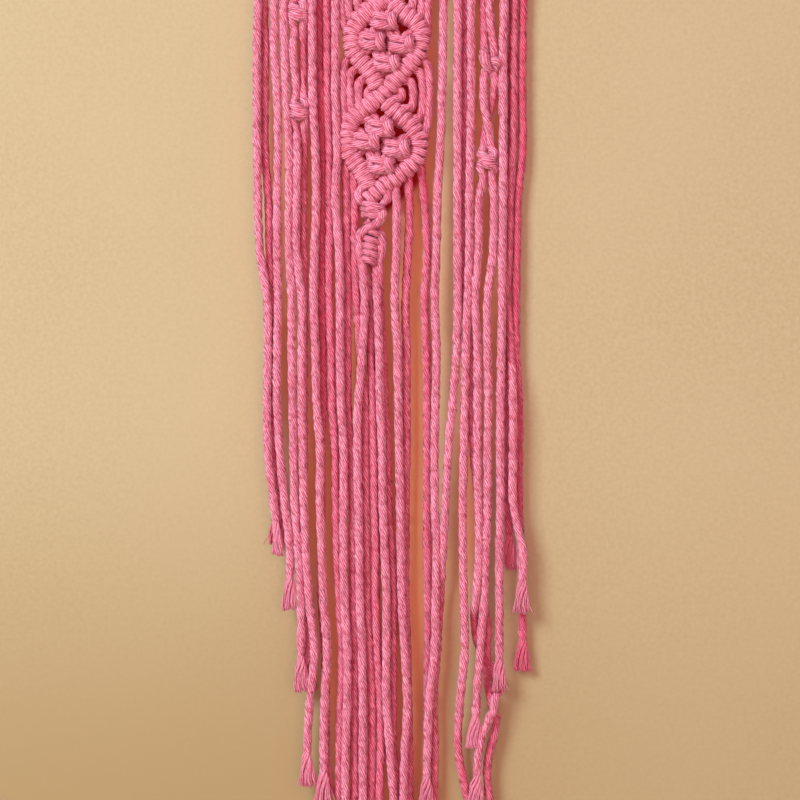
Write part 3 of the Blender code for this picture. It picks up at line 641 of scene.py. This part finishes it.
def rope(curve, dice):
    """Rings of points of a twisted cord along a curve, and each ring's distance."""
    places, along = ring_places(curve)
    marks = at_distances(curve, along, places)
    middles, flats, outs, girths = marks[:, :3], marks[:, 3], marks[:, 4:7], marks[:, 7]
    runs, sides = carried_frames(middles)
    others = np.cross(runs, sides)
    flats = np.clip(flats, 0, 1)
    start = dice.uniform(0, 2 * math.pi)
    turns, faces = yarn_turns(runs, sides, others, outs, flats, places, start)
    reaches, ribbon = yarn_reaches(places, dice), ribbon_outline()
    angles = round_angles(RING_POINTS) - math.pi
    rings = []
    for i, middle in enumerate(middles):
        turned_angles = angles + turns[i]
        reach = reaches[i] * girths[i]
        ring = (np.outer(np.cos(turned_angles) * reach, sides[i])
                + np.outer(np.sin(turned_angles) * reach, others[i]))
        if flats[i] > 0.001:
            out = unit(outs[i] - runs[i] * np.dot(outs[i], runs[i]))
            across = np.cross(runs[i], out)
            outline = np.roll(ribbon, -2 * faces[i], axis=0)
            pressed = np.outer(outline[:, 0], across) + np.outer(outline[:, 1], out)
            ring = ring * (1 - flats[i]) + pressed * flats[i] * girths[i]
        rings.append(ring + middle)
    return np.array(rings), places


# ---- Frayed ends

FRAY_LENGTH = 21.0
CORE_LENGTH = 8.0        # how far the twisted cord goes on inside the loose threads
LOCKS = 12               # bunches of threads that the cord comes apart into
INNER_LOCKS = 4
THREADS_IN_A_LOCK = 6
STRAY_THREADS = 2
THREAD_RADIUS = 0.36
THREAD_POINTS = 4
THREAD_STATIONS = 9
SPLAYS = (1.3, 2.1)      # how far an end opens out, least and most
# the ends that show best open out this far instead
SPLAYED = {"left_1a": 0.95, "left_1b": 2.3, "left_2a": 1.6, "left_2b": 1.8}


def cut_at(curve, distance):
    """The part of a curve up to a distance, and the part after it."""
    along = distances(curve)
    cut = int(np.searchsorted(along, distance))
    return curve[:cut + 1], curve[cut:]


def thread(points, radii):
    """Rings of a thin thread along its points."""
    runs, sides = carried_frames(np.array(points))
    others = np.cross(runs, sides)
    angles = round_angles(THREAD_POINTS)
    rings = []
    for i, point in enumerate(points):
        ring = np.outer(np.cos(angles), sides[i]) + np.outer(np.sin(angles), others[i])
        rings.append(np.array(point) + ring * radii[i])
    return np.array(rings)


def lock_line(neck, round_start, splay, reach, dice):
    """The line of one lock of threads, from inside the cord down to its tip."""
    along = distances(neck)
    begin = dice.uniform(0.0, 3.0)
    stop = along[-1] * dice.uniform(0.92, 1.0)
    wave, phase = dice.uniform(0.2, 0.7), dice.uniform(0, 6.28)
    lean = dice.uniform(-0.5, 0.5)
    line = []
    for share in np.linspace(0, 1, THREAD_STATIONS):
        distance = begin + share * (stop - begin)
        middle = at_distances(neck, along, distance)
        opened = min(1.0, 0.7 + 1.2 * share) + (splay - 1) * math.sin(share * math.pi / 2)
        turn = round_start - 2 * math.pi * distance / LAY * (1 - 0.6 * share)
        x = math.cos(turn) * reach * opened
        y = math.sin(turn) * reach * (1 - 0.15 * share)
        x += lean * share ** 2 + wave * math.sin(phase + 5 * share) * share
        line.append((middle[0] + x, middle[1] + y, middle[2]))
    return line


def lock_threads(line, dice):
    """The threads of one lock: the first along its line, and the others wound round it."""
    threads = []
    for k in range(THREADS_IN_A_LOCK):
        angle = k * 2 * math.pi / (THREADS_IN_A_LOCK - 1)
        reach = 0.0 if k == 0 else dice.uniform(0.5, 0.7)
        spin = dice.uniform(2.0, 4.0)
        cut = dice.uniform(0.0, 0.9)
        points, radii = [], []
        for n, (x, y, z) in enumerate(line):
            share = n / (THREAD_STATIONS - 1)
            opened = reach * (0.4 + 1.1 * share)
            turn = angle + spin * share
            points.append((x + opened * math.cos(turn), y + opened * math.sin(turn), z + cut * share))
            radii.append(THREAD_RADIUS * (1 - 0.25 * share))
        threads.append(thread(points, radii))
    return threads


def frayed_end(neck, splay, dice):
    """Threads that open out of a cord's neck: neck is its last stretch, as a curve."""
    threads = []
    for i in range(LOCKS):
        inner = i >= LOCKS - INNER_LOCKS
        round_start = i * 2 * math.pi / (INNER_LOCKS if inner else LOCKS - INNER_LOCKS)
        round_start += dice.uniform(-0.2, 0.2)
        reach = CORD_RADIUS * (0.36 if inner else 0.78)
        threads += lock_threads(lock_line(neck, round_start, splay, reach, dice), dice)
    for _ in range(STRAY_THREADS):
        line = lock_line(neck, dice.uniform(0, 6.28), splay, CORD_RADIUS * 0.8, dice)
        swing = dice.uniform(-5.0, 5.0)
        shares = np.linspace(0, 1, THREAD_STATIONS)
        points = [(x + swing * share ** 3, y, z) for (x, y, z), share in zip(line, shares)]
        threads.append(thread(points, [0.7 * THREAD_RADIUS] * THREAD_STATIONS))
    return threads


# ---- Meshes

UV_LENGTH = 0.1          # a centimetre of cord is one unit along it
REEL_LENGTH = 5000.0     # a rope is cut from anywhere on its reel


def skin(rings, along):
    """Points, faces and their places on the cord (round it, along it) of a closed tube."""
    count, size = rings.shape[0], rings.shape[1]
    points = rings.reshape(-1, 3)
    faces, places = [], []
    for i in range(count - 1):
        low, high = along[i] * UV_LENGTH, along[i + 1] * UV_LENGTH
        for j in range(size):
            k = (j + 1) % size
            faces.append((i * size + j, i * size + k, (i + 1) * size + k, (i + 1) * size + j))
            left, right = j / size, (j + 1) / size
            places += [(left, low), (right, low), (right, high), (left, high)]
    faces.append(tuple(reversed(range(size))))
    faces.append(tuple(range((count - 1) * size, count * size)))
    for end in (along[0], along[-1]):
        places += [(0.5, end * UV_LENGTH)] * size
    return points, faces, places


def make_piece(name, tubes, material, node):
    """One mesh object of closed tubes, each given as (rings, distances), that takes the place
    of a node of the plain solids."""
    points, faces, places = [], [], []
    start = 0
    for rings, along in tubes:
        tube_points, tube_faces, tube_places = skin(rings, along)
        points.append(tube_points)
        faces += [tuple(start + v for v in face) for face in tube_faces]
        places += tube_places
        start += len(tube_points)
    mesh = bpy.data.meshes.new(name)
    mesh.from_pydata((np.vstack(points) * MM).tolist(), [], faces)
    layer = mesh.uv_layers.new(name="along_cord")
    layer.data.foreach_set("uv", np.array(places, np.float32).ravel())
    mesh.materials.append(material)
    mesh.shade_smooth()
    piece = bpy.data.objects.new(name, mesh)
    bpy.context.scene.collection.objects.link(piece)
    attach(piece, "root")
    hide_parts(node)
    return piece


# ---- Materials

THREADS_ROUND = 20.0     # streaks of colour round the cord,
STREAKS_ALONG = 3.2      # and along a centimetre of it
PATCHES = 45.0           # slow changes of tone in a metre
HOLLOW_SHADE_MIDDLE = 0.0025   # depth of the middle of the painted hollow shade, and half its depth, in metres
HOLLOW_SHADE_HALF_DEPTH = 0.0055
THREAD_HEIGHT = 0.0003

# how much of another colour each mask brings in
TONE_SHARE = 0.2
STREAK_SHARE = 0.56
FLECK_SHARE = 0.28
# painted shade deep inside the hanging
HOLLOW_SHADE_SHARE = 0.5


def srgb(red, green, blue):
    """A colour as a painter names it, 0 to 255, made linear."""
    def linear(value):
        value /= 255
        return value / 12.92 if value <= 0.04045 else ((value + 0.055) / 1.055) ** 2.4
    return (linear(red), linear(green), linear(blue), 1.0)


def feed(tree, node, inputs):
    """Gives a node's inputs, by name or number, their values or other nodes' outputs."""
    for name, value in inputs.items():
        if isinstance(value, bpy.types.NodeSocket):
            tree.links.new(value, node.inputs[name])
        else:
            node.inputs[name].default_value = value


def add_node(tree, kind, inputs):
    node = tree.nodes.new("ShaderNode" + kind)
    feed(tree, node, inputs)
    return node


def maths(tree, operation, first, second=0.0):
    node = add_node(tree, "Math", {0: first, 1: second})
    node.operation = operation
    return node.outputs[0]


def noise(tree, place, scale, detail, roughness=0.5):
    inputs = {"Vector": place, "Scale": scale, "Detail": detail, "Roughness": roughness}
    return add_node(tree, "TexNoise", inputs).outputs["Fac"]


def spread(tree, value, start, stop, low=0.0, high=1.0, way="LINEAR"):
    """A value that goes from low to high while the given one goes from start to stop."""
    ends = {"From Min": start, "From Max": stop, "To Min": low, "To Max": high}
    node = add_node(tree, "MapRange", {"Value": value, **ends})
    node.interpolation_type = way
    return node.outputs["Result"]


def blended(tree, share, first, second):
    """The first colour where the share is 0, and the second where it is 1."""
    mix = tree.nodes.new("ShaderNodeMix")
    mix.data_type = "RGBA"
    feed(tree, mix, {"Factor": share, 6: first, 7: second})
    return mix.outputs[2]


def new_material(name):
    material = bpy.data.materials.new(name)
    material.use_nodes = True
    return material, material.node_tree, material.node_tree.nodes["Principled BSDF"]


def new_group(name, inputs, outputs):
    """A group of shader nodes, what it is given, and the node that takes its results."""
    group = bpy.data.node_groups.new(name, "ShaderNodeTree")
    for names, way in ((inputs, "INPUT"), (outputs, "OUTPUT")):
        for socket in names:
            group.interface.new_socket(socket, in_out=way, socket_type="NodeSocketFloat")
    given = group.nodes.new("NodeGroupInput").outputs
    return group, given, group.nodes.new("NodeGroupOutput")


def group_outputs(tree, group, inputs):
    """What a group gives in a material's tree."""
    node = tree.nodes.new("ShaderNodeGroup")
    node.node_tree = group
    feed(tree, node, inputs)
    return node.outputs


def cotton_threads_group():
    """A yarn's surface: masks of streaks, flecks and painted shade in the grooves between the yarns, and
    its threads' height.
    """
    group, given, result = new_group("cotton_threads", ("Round", "Along"),
                                     ("Streaks", "Flecks", "Groove Shade", "Height"))
    place = group.nodes.new("ShaderNodeUVMap")
    place.uv_map = "along_cord"
    split = add_node(group, "SeparateXYZ", {0: place.outputs["UV"]})
    round_cord, along_cord = split.outputs["X"], split.outputs["Y"]

    def work(operation, first, second=0.0):
        return maths(group, operation, first, second)

    def sheet(round_scale, long_scale, shear):
        """A place on the cord's unrolled surface, its threads lying at a slant."""
        slanted = work("ADD", round_cord, work("MULTIPLY", along_cord, shear))
        inputs = {"X": work("MULTIPLY", slanted, round_scale),
                  "Y": work("MULTIPLY", along_cord, long_scale)}
        return add_node(group, "CombineXYZ", inputs).outputs[0]

    threads, along = given["Round"], given["Along"]
    coarse = sheet(threads, along, 0.03)
    fine = sheet(work("MULTIPLY", threads, 1.6), work("MULTIPLY", along, 2.2), 0.0)
    streaks = spread(group, noise(group, coarse, 1.0, 1.5), 0.49, 0.6)
    flecks = spread(group, noise(group, fine, 1.0, 2.0, 0.6), 0.54, 0.68)
    # painted shade: darkest in the grooves between the yarns
    yarn_share = work("FRACT", work("MULTIPLY", round_cord, float(YARNS)))
    near_crest = work("ABSOLUTE", work("SUBTRACT", work("MULTIPLY", yarn_share, 2.0), 1.0))
    groove_shade = work("POWER", work("SUBTRACT", 1.0, near_crest), 2.0)
    height = work("ADD", work("MULTIPLY", streaks, 0.6), work("MULTIPLY", flecks, 0.4))
    feed(group, result, {"Streaks": streaks, "Flecks": flecks, "Groove Shade": groove_shade, "Height": height})
    return group


def patchy_group():
    """Slow changes of tone over the whole hanging."""
    group, given, result = new_group("slow_tone", ("Patches",), ("Tone",))
    place = group.nodes.new("ShaderNodeTexCoord").outputs["Object"]
    patches = noise(group, place, given["Patches"], 2.0)
    feed(group, result, {"Tone": spread(group, patches, 0.35, 0.65)})
    return group


def hollow_shade_group():
    """Painted shade inside the hanging: 1 at its middle depth, between the strands at its front and at
    its back, and 0 half a depth away.
    """
    group, given, result = new_group("painted_hollow_shade", ("Middle", "Half Depth"), ("Painted Shade",))
    place = group.nodes.new("ShaderNodeTexCoord").outputs["Object"]
    depth = add_node(group, "SeparateXYZ", {0: place}).outputs["Y"]
    from_middle = maths(group, "ABSOLUTE", maths(group, "SUBTRACT", depth, given["Middle"]))
    hollow_shade_mask = spread(group, from_middle, 0.0, given["Half Depth"], 1.0, 0.0)
    feed(group, result, {"Painted Shade": hollow_shade_mask})
    return group


def cotton(name, body, deep, pale, groove_shade_share, bump):
    """A cotton finish: body colour, deeper in streaks, with pale flecks, and painted shade in the grooves
    and in the hollows inside the hanging.
    """
    material, tree, shader = new_material(name)
    threads = group_outputs(tree, THREADS, {"Round": THREADS_ROUND, "Along": STREAKS_ALONG})
    tone = group_outputs(tree, TONE, {"Patches": PATCHES})
    painted_hollow_shade = group_outputs(tree, HOLLOW_SHADE, {"Middle": HOLLOW_SHADE_MIDDLE, "Half Depth": HOLLOW_SHADE_HALF_DEPTH})
    colour = body
    for mask, other, share in (
            (tone["Tone"], deep, TONE_SHARE),
            (threads["Streaks"], deep, STREAK_SHARE),
            # painted shade in the grooves
            (threads["Groove Shade"], deep, groove_shade_share),
            (threads["Flecks"], pale, FLECK_SHARE),
            # painted shade inside the hanging
            (painted_hollow_shade["Painted Shade"], HOLLOW_SHADE_COLOUR, HOLLOW_SHADE_SHARE)):
        colour = blended(tree, maths(tree, "MULTIPLY", mask, share), colour, other)
    bumps = add_node(tree, "Bump", {"Strength": bump, "Distance": THREAD_HEIGHT,
                                    "Height": threads["Height"]})
    feed(tree, shader, {"Base Color": colour, "Normal": bumps.outputs["Normal"],
                        "Roughness": 0.92, "Specular IOR Level": 0.15})
    return material


# painted shade: crimson that darkens the cords deep inside the hanging
HOLLOW_SHADE_COLOUR = srgb(206, 22, 74)
THREADS = cotton_threads_group()
TONE = patchy_group()
HOLLOW_SHADE = hollow_shade_group()
# the second last number is how much painted shade darkens the grooves
COTTON = cotton("pink_cotton_cord", srgb(252, 186, 216), srgb(174, 8, 56),
                srgb(254, 218, 236), 0.95, 0.9)
FRAYED = cotton("frayed_pink_cotton", srgb(250, 182, 212), srgb(176, 12, 58),
                srgb(254, 220, 236), 0.3, 0.5)
HOLDING = cotton("pink_holding_cord", srgb(250, 186, 214), srgb(166, 6, 50),
                 srgb(252, 214, 232), 0.95, 0.9)


# ---- The pieces

def slimmed_end(curve):
    """The curve with its cord growing slimmer where the threads take over."""
    along = distances(curve)
    slimmed = curve.copy()
    slimmed[:, GIRTH] *= np.interp(along[-1] - along, (0, CORE_LENGTH), (0.35, 1.0))
    return slimmed


def from_the_reel(rings, along, dice):
    """A tube with its distances counted from somewhere along the reel, so no two look alike."""
    return rings, along + dice.uniform(0.0, REEL_LENGTH)


def folded_cord(cord, dice):
    """A folded cord's two strands, and their frayed ends as a piece of their own."""
    ropes, threads = [], []
    for leg in (-1, 1):
        curve = soft_curve(strand_route(cord, leg))
        total = distances(curve)[-1]
        neck = cut_at(curve, total - FRAY_LENGTH)[1]
        body = cut_at(curve, total - FRAY_LENGTH + CORE_LENGTH)[0]
        ropes.append(from_the_reel(*rope(slimmed_end(body), dice), dice))
        splay = dice.uniform(*SPLAYS)
        splay = SPLAYED.get(strand_name(cord, leg), splay)
        length = distances(neck)[-1]
        for rings in frayed_end(neck[:, :3], splay, dice):
            threads.append(from_the_reel(rings, np.linspace(0, length, len(rings)), dice))
    node = "diamond_chain" if cord.startswith("chain") else "cord_" + cord
    return [make_piece(cord + "_strands", ropes, COTTON, node),
            make_piece(cord + "_frayed_ends", threads, FRAYED, node)]


def holding_cord(dice):
    half = HOLDING_HALF_LENGTH
    marks = [mark(x, 0.0, HOLDING_DROP) for x in np.linspace(-half, half, 9)]
    tubes = [rope(soft_curve(marks), dice)]
    return make_piece("holding_rope", tubes, HOLDING, "holding_cord")


# ---- Stage, light and camera, in metres

VIEW_WIDTH = 0.44        # what the photo's frame spans at the strands
VIEW_MIDDLE = (0.00495, -0.27)
LENS = 85.0              # of the camera, and its sensor, in millimetres
SENSOR = 36.0
WALL_DEPTH = 0.0098      # the paper hangs just behind the knots
WALL_SIZE = 4.0
FLOOR_DROP = 1.1
FLOOR_SIZE = 12.0

# light: (place, side of its square, power in watts, colour); all face the hanging's middle
LIGHTS = {
    "key": ((-1.2, -1.58, 0.65), 0.85, 37.0, (1.0, 0.99, 1.0)),
    "fill": ((0.25, -1.9, -0.15), 1.5, 18.0, (1.0, 0.19, 0.23)),
    "back": ((0.3, 2.2, 0.4), 1.0, 44.0, (1.0, 0.98, 0.96)),
}
LIT_MIDDLE = (0.0, 0.0, -0.25)
ROOM_COLOUR = (1.0, 0.85, 0.86, 1.0)
ROOM_STRENGTH = 0.46

# places on the paper, across or upright, between which its tints come and go: painted falloff of the
# light, painted bounce light from the cords and a painted shadow behind the chain
FALLOFF_HEIGHTS = (-0.26, -0.52)
LEFTWARD = (-0.1, 0.2)
UNDER_TOP = (-0.006, -0.03)
ABOVE_TIPS = (-0.49, -0.52)
NARROWING = (-0.18, -0.50)  # the strands' half width shrinks between these heights
HALF_WIDTHS = (0.07, 0.034)
STRANDS_EDGE = (-0.004, 0.008)
GAP_MIDDLE = 0.031       # between the chain and the cords on its right
GAP_EDGE = (0.003, 0.009)
CHAIN_MIDDLE = -0.004
CHAIN_FOOT = (-0.145, -0.175)
CHAIN_HALF_WIDTHS = (0.0215, -0.004)
CHAIN_EDGE = (-0.003, 0.003)


def add_camera():
    data = bpy.data.cameras.new("camera")
    data.lens = LENS
    data.sensor_width = SENSOR
    data.clip_start = 0.05
    data.clip_end = 50.0
    camera = bpy.data.objects.new("camera", data)
    bpy.context.scene.collection.objects.link(camera)
    distance = VIEW_WIDTH * LENS / SENSOR
    camera.location = (VIEW_MIDDLE[0], -distance, VIEW_MIDDLE[1])
    camera.rotation_euler = (math.radians(90), 0.0, 0.0)
    bpy.context.scene.camera = camera


def stage_plane(name, size, location, tilt, material):
    bpy.ops.object.select_all(action="DESELECT")
    turn = (math.radians(tilt), 0, 0)
    bpy.ops.mesh.primitive_plane_add(size=size, location=location, rotation=turn)
    plane = bpy.context.active_object
    plane.name = name
    bpy.ops.object.transform_apply(location=True, rotation=True, scale=True)
    plane.data.materials.append(material)
    return plane


def paper_colour(tree):
    """Sand with painted light and shade: darker towards the foot, most on the left, as painted falloff of
    the light;
    warmer behind the strands, as painted bounce light from the cords; and crimson behind the chain, as a
    painted shadow."""
    place = tree.nodes.new("ShaderNodeTexCoord").outputs["Object"]
    split = add_node(tree, "SeparateXYZ", {0: place})
    across, upright = split.outputs["X"], split.outputs["Z"]

    def fading(value, ends, low=0.0, high=1.0):
        return spread(tree, value, *ends, low, high, "SMOOTHSTEP")

    def both(first, second):
        return maths(tree, "MULTIPLY", first, second)

    def aside(middle):
        return maths(tree, "ABSOLUTE", maths(tree, "SUBTRACT", across, middle))

    def within(half_width, middle, edge):
        return fading(maths(tree, "SUBTRACT", half_width, aside(middle)), edge)

    def spots(scale, low, high):
        return spread(tree, noise(tree, place, scale, 3.0), low, high)

    # painted falloff of the light: the paper darker towards its foot, most on the left
    painted_falloff = both(fading(upright, FALLOFF_HEIGHTS), fading(across, LEFTWARD, 1.0, 0.5))
    under_top = fading(upright, UNDER_TOP)
    between = both(under_top, fading(upright, ABOVE_TIPS, 1.0, 0.0))
    # painted bounce light: a warm tint on the paper behind the strands, less in the gap right of the
    # chain
    glow = within(fading(upright, NARROWING, *HALF_WIDTHS), 0.0, STRANDS_EDGE)
    glow = both(both(glow, between), fading(aside(GAP_MIDDLE), GAP_EDGE, 0.25, 1.0))
    # painted shadow: crimson on the paper behind the chain
    shade = within(fading(upright, CHAIN_FOOT, *CHAIN_HALF_WIDTHS), CHAIN_MIDDLE, CHAIN_EDGE)
    colour = srgb(176, 174, 135)
    for share, tint in (
            (spots(6.0, 0.35, 0.65), srgb(181, 180, 142)),
            (spots(420.0, 0.3, 0.7), srgb(185, 185, 146)),
            # painted falloff of the light
            (painted_falloff, srgb(162, 154, 111)),
            # painted bounce light
            (glow, srgb(200, 160, 116)),
            # painted shadow
            (both(shade, under_top), srgb(150, 30, 26)),
            (spots(500.0, 0.77, 0.82), srgb(176, 140, 98))):
        colour = blended(tree, share, colour, tint)
    return colour


def paper_material():
    """Plain paper that shows from its front only and shades nothing."""
    material, tree, shader = new_material("plain_sand_paper")
    feed(tree, shader, {"Base Color": paper_colour(tree), "Roughness": 0.95,
                        "Specular IOR Level": 0.1})
    from_behind = tree.nodes.new("ShaderNodeNewGeometry").outputs["Backfacing"]
    for_shade = tree.nodes.new("ShaderNodeLightPath").outputs["Is Shadow Ray"]
    clear = tree.nodes.new("ShaderNodeBsdfTransparent").outputs[0]
    either = maths(tree, "MAXIMUM", from_behind, for_shade)
    surface = add_node(tree, "MixShader", {0: either, 1: shader.outputs[0], 2: clear})
    feed(tree, tree.nodes["Material Output"], {"Surface": surface.outputs[0]})
    return material


def floor_material():
    material, tree, shader = new_material("pale_floor")
    feed(tree, shader, {"Base Color": srgb(226, 216, 200), "Roughness": 0.8})
    return material


def add_light(name):
    location, side, power, colour = LIGHTS[name]
    data = bpy.data.lights.new(name, "AREA")
    data.shape = "RECTANGLE"
    data.size = side
    data.size_y = side
    data.energy = power
    data.color = colour
    light = bpy.data.objects.new(name, data)
    bpy.context.scene.collection.objects.link(light)
    light.location = location
    away = Vector(LIT_MIDDLE) - Vector(location)
    light.rotation_euler = away.to_track_quat("-Z", "Y").to_euler()
    return light


def keep_off_the_floor(fill, lit):
    """The fill stands for light that the cords pass to each other and to the paper behind."""
    lit_by_fill = bpy.data.collections.new("lit_by_fill")
    for thing in lit:
        lit_by_fill.objects.link(thing)
    fill.light_linking.receiver_collection = lit_by_fill


def add_stage(pieces):
    backdrop = stage_plane("backdrop", WALL_SIZE, (0, WALL_DEPTH, 0), 90, paper_material())
    stage_plane("floor", FLOOR_SIZE, (0, 0, -FLOOR_DROP), 0, floor_material())
    lights = {name: add_light(name) for name in LIGHTS}
    keep_off_the_floor(lights["fill"], [backdrop] + pieces)
    world = bpy.data.worlds.new("room")
    world.use_nodes = True
    sky = world.node_tree.nodes["Background"]
    sky.inputs["Color"].default_value = ROOM_COLOUR
    sky.inputs["Strength"].default_value = ROOM_STRENGTH
    bpy.context.scene.world = world
    bpy.context.scene.view_settings.view_transform = "Standard"


def main():
    dice = random.Random(SEED)
    pieces = []
    for cord in CORDS:
        pieces += folded_cord(cord, dice)
    pieces.append(holding_cord(dice))
    add_camera()
    add_stage(pieces)


main()
